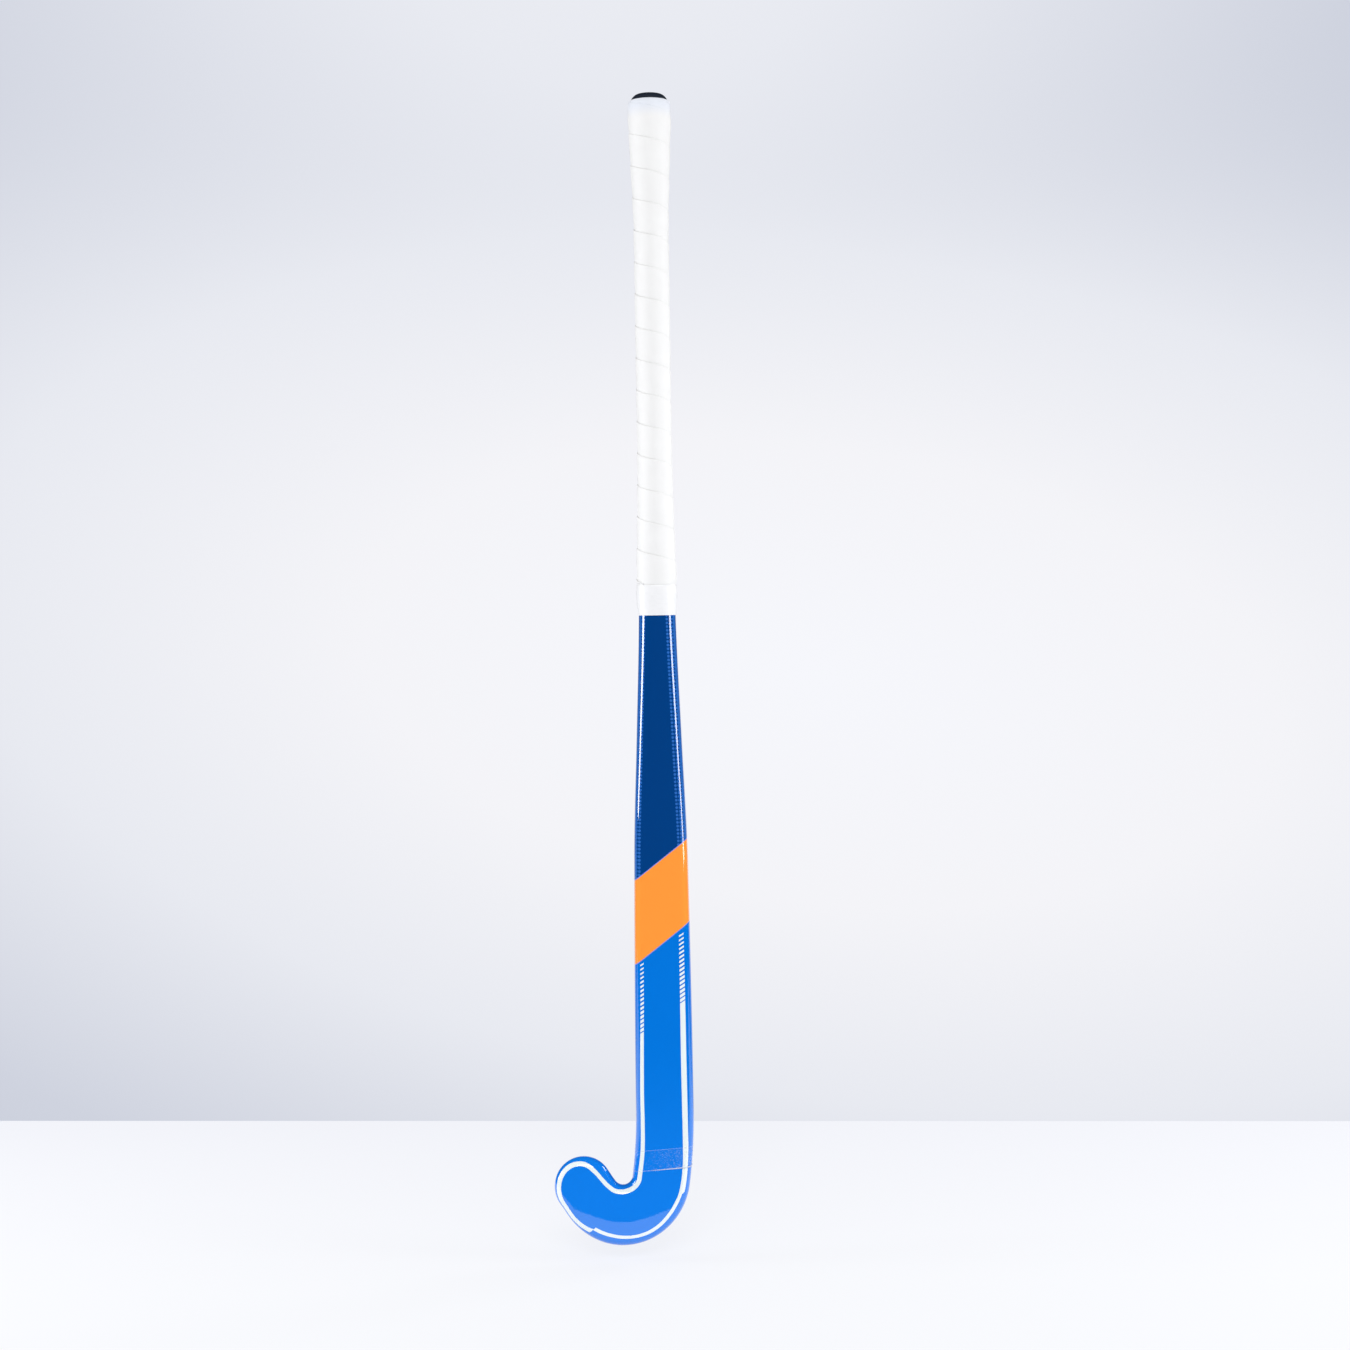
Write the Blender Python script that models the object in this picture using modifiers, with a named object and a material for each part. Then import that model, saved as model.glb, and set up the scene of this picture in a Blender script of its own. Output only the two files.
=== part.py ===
"""Field hockey stick with a moulded hollow shell, held by its butt end.

The top of the end cap is the origin. +Z runs up the straight handle, the flat playing
face looks along -Y and the toe of the hook points to -X. Distances named "along" are
measured down the stick from the top of the end cap.
"""
import math

import bmesh
import bpy
from mathutils import Vector

# Driving sizes in metres
STICK_LENGTH = 0.927
FIT_GAP = 0.0003

END_CAP_HEIGHT = 0.0052
END_CAP_EDGE_RADIUS = 0.0048
CAP_STEM_RADIUS = 0.0050
CAP_STEM_LENGTH = 0.0120

BUTT_DIAMETER = 0.0296
BUTT_STRAIGHT = 0.020
BUTT_TAPER = 0.095
HANDLE_WIDTH = 0.0242
HANDLE_DEPTH = 0.0286
HANDLE_LENGTH = 0.265
FACE_START_ALONG = 0.320
UPPER_SHAFT_LENGTH = 0.165
UPPER_SHAFT_WIDTH = 0.0306
UPPER_SHAFT_DEPTH = 0.0262
MIDDLE_SHAFT_LENGTH = 0.090
MIDDLE_SHAFT_WIDTH = 0.0370
MIDDLE_SHAFT_DEPTH = 0.0242
LOWER_SHAFT_LENGTH = 0.100
LOWER_SHAFT_WIDTH = 0.0440
LOWER_SHAFT_DEPTH = 0.0224

BLADE_WIDTH = 0.0470
BLADE_DEPTH = 0.0208
BLADE_EDGE_RADIUS = 0.0065
BLADE_SIDE_FORWARD = 0.0015
BLADE_BACK_POWER = 2.3
HEEL_BEND_RADIUS = 0.415
HEEL_BEND_ANGLE = math.radians(7.7)
THROAT_RADIUS = 0.0076
HOOK_TURN = math.radians(141.2)
HOOK_EXTRA_WIDTH = 0.0007
TOE_STRAIGHT = 0.0147
TOE_INSET = 0.0010
TOE_FLATTENING = 0.0011
TOE_DEPTH = 0.0190

BOW_DEPTH = 0.020
BOW_START_ALONG = 0.480
BOW_END_ABOVE_HEEL = 0.127

SHELL_WALL = 0.0022
LINER_WALL = 0.0012
LINER_ABOVE_BEND = 0.012
CORE_ABOVE_BEND = 0.020
RIB_THICKNESS = 0.0016
RIB_END_GAP = 0.0040
PLUG_LENGTH = 0.024
PLUG_CHAMFER = 0.0015
HANDLE_FOAM_LENGTH = 0.270

GRIP_LENGTH = 0.4202
GRIP_PITCH = 0.0257
GRIP_SEAM_GAP = 0.0006
GRIP_UPPER_THICKNESS = 0.0019
GRIP_LOWER_THICKNESS = 0.0012
GRIP_EDGE_ROUND = 0.0008
GRIP_SHORTEST_END = 0.0040
GRIP_TOP_ROUND = 0.0034
END_TAPE_HEIGHT = 0.0220
END_TAPE_THICKNESS = 0.0012
END_TAPE_EDGE_THICKNESS = 0.0008
END_TAPE_EDGE_HEIGHT = 0.0044

FILM_HEIGHT = 0.0170
FILM_ABOVE_BOTTOM = 0.0610
FILM_THICKNESS = 0.0002

# Fineness of the faceted shapes
SIDES = 24
LONGEST_STEP = 0.024
SHORTEST_STEP = 0.002
BEND_STEPS = 4
HEEL_STEPS = 7
FORE_HOOK_STEPS = 5
TOE_STRAIGHT_STEPS = 3
TOE_STEPS = 12
CAP_EDGE_STEPS = 4
FILM_STEPS = 3
SMOOTH_ANGLE = math.radians(30)
MERGE_DISTANCE = 0.00001

# Where the main stretches start, along the stick
SHELL_TOP = END_CAP_HEIGHT + FIT_GAP
UPPER_SHAFT_ALONG = HANDLE_LENGTH + UPPER_SHAFT_LENGTH
MIDDLE_SHAFT_ALONG = UPPER_SHAFT_ALONG + MIDDLE_SHAFT_LENGTH
LOWER_SHAFT_ALONG = MIDDLE_SHAFT_ALONG + LOWER_SHAFT_LENGTH
HOOK_MIDDLE_RADIUS = THROAT_RADIUS + BLADE_WIDTH / 2
HOOK_OUTER_RADIUS = THROAT_RADIUS + BLADE_WIDTH + HOOK_EXTRA_WIDTH
HOOK_CENTRE_Z = HOOK_OUTER_RADIUS - STICK_LENGTH
BEND_DROP = HEEL_BEND_RADIUS * math.sin(HEEL_BEND_ANGLE)
BEND_ALONG = HOOK_MIDDLE_RADIUS * math.sin(HEEL_BEND_ANGLE) - HOOK_CENTRE_Z - BEND_DROP
BEND_SHIFT = HEEL_BEND_RADIUS * (1 - math.cos(HEEL_BEND_ANGLE))
HOOK_CENTRE_X = -BEND_SHIFT - HOOK_MIDDLE_RADIUS * math.cos(HEEL_BEND_ANGLE)

WIDTHS = [
    (0.0, BUTT_DIAMETER),
    (BUTT_STRAIGHT, BUTT_DIAMETER),
    (BUTT_STRAIGHT + BUTT_TAPER, HANDLE_WIDTH),
    (HANDLE_LENGTH, HANDLE_WIDTH),
    (UPPER_SHAFT_ALONG, UPPER_SHAFT_WIDTH),
    (MIDDLE_SHAFT_ALONG, MIDDLE_SHAFT_WIDTH),
    (LOWER_SHAFT_ALONG, LOWER_SHAFT_WIDTH),
    (BEND_ALONG, BLADE_WIDTH),
]
DEPTHS = [
    (0.0, BUTT_DIAMETER),
    (BUTT_STRAIGHT, BUTT_DIAMETER),
    (BUTT_STRAIGHT + BUTT_TAPER, HANDLE_DEPTH),
    (HANDLE_LENGTH, HANDLE_DEPTH),
    (UPPER_SHAFT_ALONG, UPPER_SHAFT_DEPTH),
    (MIDDLE_SHAFT_ALONG, MIDDLE_SHAFT_DEPTH),
    (LOWER_SHAFT_ALONG, LOWER_SHAFT_DEPTH),
    (BEND_ALONG, BLADE_DEPTH),
]


def smooth_step(value):
    value = min(max(value, 0.0), 1.0)
    return value * value * (3 - 2 * value)


def size_along(stations, along):
    """Smooth curve through (distance, size) stations that never overshoots them."""
    if along <= stations[0][0]:
        return stations[0][1]
    if along >= stations[-1][0]:
        return stations[-1][1]
    slopes = []
    for (start, low), (end, high) in zip(stations, stations[1:]):
        slopes.append((high - low) / (end - start))
    tangents = [slopes[0]]
    for before, after in zip(slopes, slopes[1:]):
        same_way = before * after > 0
        tangents.append(2 * before * after / (before + after) if same_way else 0.0)
    tangents.append(0.0)
    index = 0
    while along > stations[index + 1][0]:
        index += 1
    start, low = stations[index]
    end, high = stations[index + 1]
    span = end - start
    share = (along - start) / span
    bend_in = share * (1 - share) ** 2 * span * tangents[index]
    bend_out = -share ** 2 * (1 - share) * span * tangents[index + 1]
    return low + (high - low) * smooth_step(share) + bend_in + bend_out


def bow(z):
    """Depth of the stick's middle plane at a height.

    The handle is straight, an arc carries the lower shaft forward, and the head is flat
    again. The bow is what a straight line from butt to heel leaves behind the arc.
    """
    end_along = STICK_LENGTH - BOW_END_ABOVE_HEEL
    arc = end_along - BOW_START_ALONG
    ratio = (BOW_START_ALONG + arc / 2) / (STICK_LENGTH - end_along + arc / 2)
    chord_slope = BOW_DEPTH / (BOW_START_ALONG + arc / (2 * (1 + ratio)))
    head_slope = chord_slope * (1 + ratio)
    along = -z
    into_arc = min(max(along - BOW_START_ALONG, 0.0), arc)
    past_arc = max(along - end_along, 0.0)
    return -head_slope * (into_arc ** 2 / (2 * arc) + past_arc)


def station(x, z, turn, width, depth, flatness=1.0, face=BLADE_DEPTH / 2):
    """One cross-section: its middle, how far the stick has turned there, and its sizes.

    The face keeps its depth all round the head, so that the playing face is one plane.
    """
    return {
        "x": x,
        "z": z,
        "turn": turn,
        "half": width / 2,
        "face": face,
        "back": depth - face,
        "flatness": flatness,
    }


def shaft_station(along):
    flatness = smooth_step((along - FACE_START_ALONG) / (LOWER_SHAFT_ALONG - FACE_START_ALONG))
    width = size_along(WIDTHS, along)
    depth = size_along(DEPTHS, along)
    return station(0.0, -along, 0.0, width, depth, flatness, depth / 2)


def bend_station(angle):
    """The gentle bend of the shaft just above the hook."""
    x = -HEEL_BEND_RADIUS * (1 - math.cos(angle))
    z = -BEND_ALONG - HEEL_BEND_RADIUS * math.sin(angle)
    return station(x, z, angle, BLADE_WIDTH, BLADE_DEPTH)


def hook_station(turn):
    """Sections fan round the middle of the throat, and are widest at the bottom."""
    before_bottom = math.pi / 2 - HEEL_BEND_ANGLE
    after_bottom = HOOK_TURN - math.pi / 2
    reach = before_bottom if turn < math.pi / 2 else after_bottom
    swell = math.cos(math.pi / 2 * (turn - math.pi / 2) / reach) ** 2
    width = BLADE_WIDTH + HOOK_EXTRA_WIDTH * swell
    middle = THROAT_RADIUS + width / 2
    share = (turn - HEEL_BEND_ANGLE) / (HOOK_TURN - HEEL_BEND_ANGLE)
    depth = BLADE_DEPTH + (TOE_DEPTH - BLADE_DEPTH) * smooth_step(share)
    x = HOOK_CENTRE_X + middle * math.cos(turn)
    z = HOOK_CENTRE_Z - middle * math.sin(turn)
    return station(x, z, turn, width, depth)


def toe_station(share):
    """The short straight run from the hook to the round toe."""
    across = HOOK_MIDDLE_RADIUS - TOE_INSET * smooth_step(share)
    run = TOE_STRAIGHT * share
    x = HOOK_CENTRE_X + across * math.cos(HOOK_TURN) - run * math.sin(HOOK_TURN)
    z = HOOK_CENTRE_Z - across * math.sin(HOOK_TURN) - run * math.cos(HOOK_TURN)
    return station(x, z, HOOK_TURN, BLADE_WIDTH, TOE_DEPTH)


def section_point(place, angle, offset):
    """A point of a section, across and in depth, at an angle from the outer side.

    The section runs from a plain ellipse to a flat face with round edges and a domed
    back. A positive offset moves it outwards, a negative one into the wall.
    """
    half = place["half"] + offset
    face = place["face"] + offset
    back = place["back"] + offset
    edge = BLADE_EDGE_RADIUS + offset
    side = -BLADE_SIDE_FORWARD
    sine = math.sin(angle)
    cosine = math.cos(angle)
    oval = (half * cosine, (back if sine > 0 else face) * sine)
    mirror = 1 if cosine >= 0 else -1
    flat_end = math.pi / 2 - 2 * math.pi / SIDES
    below = -math.asin(max(-1.0, min(1.0, sine)))
    if below > flat_end:
        across = (half - edge) * (math.pi / 2 - below) / (math.pi / 2 - flat_end)
        deep = -face
    elif below > 0:
        corner = (flat_end - below) / flat_end * math.pi / 2
        across = half - edge + edge * math.sin(corner)
        deep = side - (face + side) * math.cos(corner)
    else:
        power = 2 / BLADE_BACK_POWER
        across = half * abs(cosine) ** power
        deep = side + (back - side) * abs(sine) ** power
    blend = place["flatness"]
    return (
        oval[0] + (mirror * across - oval[0]) * blend,
        oval[1] + (deep - oval[1]) * blend,
    )


def set_point(place, turn, across, deep):
    x = place["x"] + across * math.cos(turn)
    z = place["z"] - across * math.sin(turn)
    return Vector((x, bow(z) + deep, z))


def ring(place, offset):
    """One closed ring of points, from the middle of the face round the outer side."""
    points = []
    for index in range(SIDES):
        angle = -math.pi / 2 + 2 * math.pi * index / SIDES
        across, deep = section_point(place, angle, offset)
        points.append(set_point(place, place["turn"], across, deep))
    return points


def toe_columns(offset):
    """Half sections swung about the middle of the toe, between its outer and inner side."""
    place = toe_station(1.0)
    columns = []
    for step in range(1, TOE_STEPS):
        swing = math.pi * step / TOE_STEPS
        turn = HOOK_TURN + swing
        place["half"] = BLADE_WIDTH / 2 - TOE_FLATTENING * math.sin(swing)
        column = []
        for index in range(1, SIDES // 2):
            angle = -math.pi / 2 + 2 * math.pi * index / SIDES
            across, deep = section_point(place, angle, offset)
            column.append(set_point(place, turn, across, deep))
        columns.append(column)
    return columns


def shaft_run(start, end):
    """Stations of the straight shaft between two distances, on one shared set of levels."""
    levels = [start]
    for (upper, _), (lower, _) in zip(WIDTHS, WIDTHS[1:]):
        steps = math.ceil((lower - upper) / LONGEST_STEP)
        for step in range(1, steps + 1):
            level = upper + (lower - upper) * step / steps
            if start + SHORTEST_STEP < level < end - SHORTEST_STEP:
                levels.append(level)
    levels.append(end)
    return [shaft_station(level) for level in levels]


def head_run():
    """All stations past the straight shaft, down to the middle of the toe."""
    places = []
    for step in range(1, BEND_STEPS + 1):
        places.append(bend_station(HEEL_BEND_ANGLE * step / BEND_STEPS))
    bottom = math.pi / 2
    for step in range(1, HEEL_STEPS + 1):
        places.append(hook_station(HEEL_BEND_ANGLE + (bottom - HEEL_BEND_ANGLE) * step / HEEL_STEPS))
    for step in range(1, FORE_HOOK_STEPS + 1):
        places.append(hook_station(bottom + (HOOK_TURN - bottom) * step / FORE_HOOK_STEPS))
    for step in range(1, TOE_STRAIGHT_STEPS + 1):
        places.append(toe_station(step / TOE_STRAIGHT_STEPS))
    return places


def skin(mesh, places, offset, with_toe, outward):
    """Joins rings of points into a skin, closed by the round toe where asked."""
    rings = []
    for place in places:
        rings.append([mesh.verts.new(point) for point in ring(place, offset)])

    def face(corners):
        mesh.faces.new(corners if outward else corners[::-1])

    for upper, lower in zip(rings, rings[1:]):
        for index in range(SIDES):
            after = (index + 1) % SIDES
            face([upper[index], lower[index], lower[after], upper[after]])
    if with_toe:
        last = rings[-1]
        half = SIDES // 2
        columns = [last[1:half]]
        for column in toe_columns(offset):
            columns.append([mesh.verts.new(point) for point in column])
        columns.append([last[SIDES - index] for index in range(1, half)])
        for first, second in zip(columns, columns[1:]):
            face([last[0], second[0], first[0]])
            for index in range(len(first) - 1):
                face([first[index], second[index], second[index + 1], first[index + 1]])
            face([first[-1], second[-1], last[half]])
    return rings


def paint(name, colour, roughness, metallic=0.0):
    material = bpy.data.materials.new(name)
    material.use_nodes = True
    shader = material.node_tree.nodes["Principled BSDF"]
    shader.inputs["Base Color"].default_value = (*colour, 1.0)
    shader.inputs["Roughness"].default_value = roughness
    shader.inputs["Metallic"].default_value = metallic
    material.diffuse_color = (*colour, 1.0)
    return material


def add_object(name, mesh, material):
    """Turns a bmesh into a named object of the stick."""
    data = bpy.data.meshes.new(name)
    mesh.to_mesh(data)
    mesh.free()
    data.materials.append(material)
    made = bpy.data.objects.new(name, data)
    stick.objects.link(made)
    data.shade_smooth()
    data.set_sharp_from_angle(angle=SMOOTH_ANGLE)
    return made


def solid(name, places, offset, with_toe, material):
    """A closed solid that fills a stretch of the stick at an offset from its surface."""
    mesh = bmesh.new()
    rings = skin(mesh, places, offset, with_toe, True)
    mesh.faces.new(rings[0])
    if not with_toe:
        mesh.faces.new(rings[-1][::-1])
    return add_object(name, mesh, material)


def sleeve(name, places, outside, inside, with_toe, material):
    """A walled tube: open at both ends, or closed at the toe like a sock."""
    mesh = bmesh.new()
    outer = skin(mesh, places, outside, with_toe, True)
    inner = skin(mesh, places, inside, with_toe, False)
    for index in range(SIDES):
        after = (index + 1) % SIDES
        mesh.faces.new([outer[0][index], outer[0][after], inner[0][after], inner[0][index]])
        if not with_toe:
            mesh.faces.new([outer[-1][after], outer[-1][index], inner[-1][index], inner[-1][after]])
    return add_object(name, mesh, material)


def turned(name, profile, material):
    """A round piece about the Z axis, from (radius, z) points down its outer side."""
    mesh = bmesh.new()
    line = [mesh.verts.new((radius, 0.0, z)) for radius, z in profile]
    for first, second in zip(line, line[1:]):
        mesh.edges.new((first, second))
    made = add_object(name, mesh, material)
    screw = made.modifiers.new("Turn", "SCREW")
    screw.axis = "Z"
    screw.angle = 2 * math.pi
    screw.steps = SIDES
    screw.render_steps = SIDES
    screw.use_merge_vertices = True
    screw.merge_threshold = MERGE_DISTANCE
    return made


def make_shell():
    """Moulded laminate shell, hollow from the open butt down to the toe."""
    places = shaft_run(SHELL_TOP, BEND_ALONG) + head_run()
    return sleeve("outer_shell", places, 0.0, -SHELL_WALL, True, lacquer)


def make_head_liner():
    """Reinforcing sock of extra plies inside the head."""
    start = BEND_ALONG - LINER_ABOVE_BEND
    places = shaft_run(start, BEND_ALONG) + head_run()
    outside = -(SHELL_WALL + FIT_GAP)
    return sleeve("head_liner", places, outside, outside - LINER_WALL, True, laminate)


def make_head_core():
    """Foam core that fills the head inside the liner and stands a little above it."""
    start = BEND_ALONG - CORE_ABOVE_BEND
    places = shaft_run(start, BEND_ALONG) + head_run()
    offset = -(SHELL_WALL + LINER_WALL + 2 * FIT_GAP)
    return solid("head_core", places, offset, True, foam)


def make_handle_foam():
    """Foam poured into the handle below the plug."""
    start = SHELL_TOP + FIT_GAP + PLUG_LENGTH + FIT_GAP
    places = shaft_run(start, start + HANDLE_FOAM_LENGTH)
    return solid("handle_foam", places, -(SHELL_WALL + FIT_GAP), False, foam)


def make_centre_rib():
    """Laminate wall between the two moulded chambers of the shaft."""
    foam_end = SHELL_TOP + PLUG_LENGTH + 2 * FIT_GAP + HANDLE_FOAM_LENGTH
    start = foam_end + RIB_END_GAP
    end = BEND_ALONG - CORE_ABOVE_BEND - RIB_END_GAP
    mesh = bmesh.new()
    rings = []
    inset = SHELL_WALL + FIT_GAP
    for place in shaft_run(start, end):
        front = -(place["face"] - inset)
        rear = place["back"] - inset
        corners = []
        for side, deep in ((-1, front), (1, front), (1, rear), (-1, rear)):
            corners.append(mesh.verts.new(set_point(place, 0.0, side * RIB_THICKNESS / 2, deep)))
        rings.append(corners)
    for upper, lower in zip(rings, rings[1:]):
        for index in range(len(upper)):
            after = (index + 1) % len(upper)
            mesh.faces.new([upper[index], lower[index], lower[after], upper[after]])
    mesh.faces.new(rings[0])
    mesh.faces.new(rings[-1][::-1])
    return add_object("centre_rib", mesh, laminate)


def make_butt_plug():
    """Turned plug glued in the mouth of the handle, bored for the stem of the cap."""
    radius = BUTT_DIAMETER / 2 - SHELL_WALL - FIT_GAP
    top = -(SHELL_TOP + FIT_GAP)
    bottom = top - PLUG_LENGTH
    bore = CAP_STEM_RADIUS + FIT_GAP
    bore_end = -(END_CAP_HEIGHT + CAP_STEM_LENGTH + FIT_GAP)
    profile = [
        (0.0, bore_end),
        (bore, bore_end),
        (bore, top),
        (radius, top),
        (radius, bottom + PLUG_CHAMFER),
        (radius - PLUG_CHAMFER, bottom),
        (0.0, bottom),
    ]
    return turned("butt_plug", profile, plug_plastic)


def make_end_cap():
    """Black rubber cap over the butt, held by its stem in the plug."""
    radius = BUTT_DIAMETER / 2
    edge = END_CAP_EDGE_RADIUS
    profile = [(0.0, 0.0)]
    for step in range(CAP_EDGE_STEPS + 1):
        angle = math.pi / 2 * (1 - step / CAP_EDGE_STEPS)
        profile.append((radius - edge + edge * math.cos(angle), -edge + edge * math.sin(angle)))
    stem_end = -(END_CAP_HEIGHT + CAP_STEM_LENGTH)
    profile += [
        (radius, -END_CAP_HEIGHT),
        (CAP_STEM_RADIUS, -END_CAP_HEIGHT),
        (CAP_STEM_RADIUS, stem_end),
        (0.0, stem_end),
    ]
    return turned("end_cap", profile, cap_rubber)


def tape_profile(upper, lower):
    """Corners of the grip tape's section as (along, offset): thick above, thin below."""
    inner = FIT_GAP
    rounding = min((upper + GRIP_EDGE_ROUND - SHELL_TOP) / GRIP_TOP_ROUND, 1.0)
    share = math.sqrt(max(1 - (1 - rounding) ** 2, 0.0))
    thick = GRIP_UPPER_THICKNESS * share
    middle = (upper + lower) / 2
    middle_thick = (GRIP_UPPER_THICKNESS + GRIP_LOWER_THICKNESS) / 2
    return [
        (upper, inner),
        (lower, inner),
        (lower, inner + GRIP_LOWER_THICKNESS),
        (middle, inner + middle_thick),
        (upper + GRIP_EDGE_ROUND, inner + thick),
        (upper, inner + thick - GRIP_EDGE_ROUND * share),
    ]


def tape_ring(turn, upper, lower):
    """Points of the tape's section where it has wound round by a turn angle."""
    points = []
    for along, offset in tape_profile(upper, lower):
        place = shaft_station(along)
        across, deep = section_point(place, math.pi + turn, offset)
        points.append(set_point(place, 0.0, across, deep))
    return points


def make_grip_tape():
    """One unbroken tape wound from the butt down, cut level at both ends.

    It runs down from left to right across the face. Each turn is thick at its upper
    edge, so the turns step in where they meet.
    """
    tape_width = GRIP_PITCH - GRIP_SEAM_GAP
    last_along = GRIP_LENGTH - END_TAPE_HEIGHT - FIT_GAP
    step_angle = 2 * math.pi / SIDES
    first_step = -int((tape_width - GRIP_SHORTEST_END) / GRIP_PITCH * SIDES)
    last_step = int((last_along - GRIP_SHORTEST_END - SHELL_TOP) / GRIP_PITCH * SIDES)
    wound = []
    for step in range(first_step, last_step + 1):
        start = SHELL_TOP + GRIP_PITCH * step / SIDES
        upper = max(start, SHELL_TOP)
        lower = min(start + tape_width, last_along)
        wound.append(tape_ring(step * step_angle, upper, lower))
    nearest = 1.0
    for upper_turn, lower_turn in zip(wound, wound[SIDES:]):
        for point in upper_turn:
            nearest = min(nearest, min((point - other).length for other in lower_turn))
    print(f"grip tape: {(last_step - first_step) / SIDES:.1f} loops, least gap {nearest * 1000:.2f} mm")
    mesh = bmesh.new()
    rings = [[mesh.verts.new(point) for point in points] for points in wound]
    count = len(rings[0])
    for first, second in zip(rings, rings[1:]):
        for index in range(count):
            after = (index + 1) % count
            mesh.faces.new([first[index], second[index], second[after], first[after]])
    mesh.faces.new(rings[0])
    mesh.faces.new(rings[-1][::-1])
    bmesh.ops.recalc_face_normals(mesh, faces=mesh.faces)
    return add_object("grip_tape", mesh, grip_white)


def make_grip_end_tape():
    """Finishing tape that closes the lower end of the grip, thinner at its edges."""
    top = GRIP_LENGTH - END_TAPE_HEIGHT
    layers = [
        (top, END_TAPE_EDGE_THICKNESS),
        (top + END_TAPE_EDGE_HEIGHT, END_TAPE_THICKNESS),
        (GRIP_LENGTH - END_TAPE_EDGE_HEIGHT, END_TAPE_THICKNESS),
        (GRIP_LENGTH, END_TAPE_EDGE_THICKNESS),
    ]
    mesh = bmesh.new()
    outer = []
    inner = []
    for along, thick in layers:
        place = shaft_station(along)
        outer.append([mesh.verts.new(point) for point in ring(place, FIT_GAP + thick)])
        inner.append([mesh.verts.new(point) for point in ring(place, FIT_GAP)])
    for index in range(SIDES):
        after = (index + 1) % SIDES
        for upper, lower in zip(outer, outer[1:]):
            mesh.faces.new([upper[index], lower[index], lower[after], upper[after]])
        for upper, lower in zip(inner, inner[1:]):
            mesh.faces.new([upper[after], lower[after], lower[index], upper[index]])
        mesh.faces.new([outer[0][index], outer[0][after], inner[0][after], inner[0][index]])
        mesh.faces.new([outer[-1][after], outer[-1][index], inner[-1][index], inner[-1][after]])
    return add_object("grip_end_tape", mesh, tape_white)


def make_film_band():
    """Clear protective film wrapped once round the blade above the hook."""
    top_z = FILM_ABOVE_BOTTOM + FILM_HEIGHT - STICK_LENGTH
    bottom_z = FILM_ABOVE_BOTTOM - STICK_LENGTH
    places = []
    for step in range(FILM_STEPS + 1):
        z = top_z + (bottom_z - top_z) * step / FILM_STEPS
        places.append(bend_station(math.asin((-BEND_ALONG - z) / HEEL_BEND_RADIUS)))
    outside = FIT_GAP + FILM_THICKNESS
    return sleeve("clear_film_band", places, outside, FIT_GAP, False, clear_film)


for item in list(bpy.data.objects):
    bpy.data.objects.remove(item, do_unlink=True)

stick = bpy.data.collections.new("hockey_stick")
bpy.context.scene.collection.children.link(stick)

lacquer = paint("blue_lacquer", (0.0, 0.19, 0.72), 0.12)
laminate = paint("fibre_laminate", (0.03, 0.03, 0.035), 0.45)
foam = paint("rigid_foam", (0.72, 0.62, 0.38), 0.9)
plug_plastic = paint("plug_plastic", (0.35, 0.36, 0.38), 0.5)
cap_rubber = paint("black_rubber", (0.012, 0.016, 0.025), 0.55)
grip_white = paint("white_grip_tape", (0.9, 0.9, 0.9), 0.6)
tape_white = paint("white_finishing_tape", (0.85, 0.86, 0.88), 0.4)
clear_film = paint("clear_film", (0.75, 0.85, 0.95), 0.1)

make_shell()
make_head_liner()
make_head_core()
make_handle_foam()
make_centre_rib()
make_butt_plug()
make_end_cap()
make_grip_tape()
make_grip_end_tape()
make_film_band()
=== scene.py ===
import math

import bmesh
import bpy
from mathutils import Matrix, Vector


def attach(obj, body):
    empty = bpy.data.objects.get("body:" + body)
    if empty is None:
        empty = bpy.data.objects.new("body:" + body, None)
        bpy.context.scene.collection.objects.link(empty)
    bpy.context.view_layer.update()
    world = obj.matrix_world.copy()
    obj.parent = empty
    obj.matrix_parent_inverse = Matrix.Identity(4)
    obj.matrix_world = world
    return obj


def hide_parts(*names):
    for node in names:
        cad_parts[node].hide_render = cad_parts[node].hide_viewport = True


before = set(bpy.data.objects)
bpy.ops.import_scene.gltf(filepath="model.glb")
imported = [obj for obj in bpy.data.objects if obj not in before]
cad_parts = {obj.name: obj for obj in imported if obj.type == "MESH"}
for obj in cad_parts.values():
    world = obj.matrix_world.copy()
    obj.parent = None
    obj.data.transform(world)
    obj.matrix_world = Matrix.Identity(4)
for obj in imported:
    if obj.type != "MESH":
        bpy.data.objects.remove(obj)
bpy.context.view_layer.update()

# Shell: one hollow moulding of glass and carbon fibre in resin, open at the butt. It is painted
# navy, orange and blue, printed with white lines that follow its outline, and sealed under a
# thick clear coat that has the faint ripple of sprayed lacquer.
STICK_LENGTH = 0.927
SHELL_TOP = 0.0055
SHELL_WALL = 0.0022
BLADE_WIDTH = 0.0470
BLADE_DEPTH = 0.0208
TOE_DEPTH = 0.0190
EDGE_RADIUS = 0.0065
SIDE_FORWARD = 0.0015
BACK_POWER = 2.3
FACE_CROWN = 0.00055
BEND_RADIUS = 0.415
BEND_ANGLE = math.radians(7.7)
THROAT_RADIUS = 0.0076
HOOK_TURN = math.radians(141.2)
HOOK_EXTRA_WIDTH = 0.0007
TOE_STRAIGHT = 0.0147
TOE_INSET = 0.0010
TOE_FLATTENING = 0.0011
BOW_DEPTH = 0.020
BOW_START = 0.480
BOW_END = STICK_LENGTH - 0.127
FLAT_START = 0.320
FLAT_END = 0.620
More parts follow.
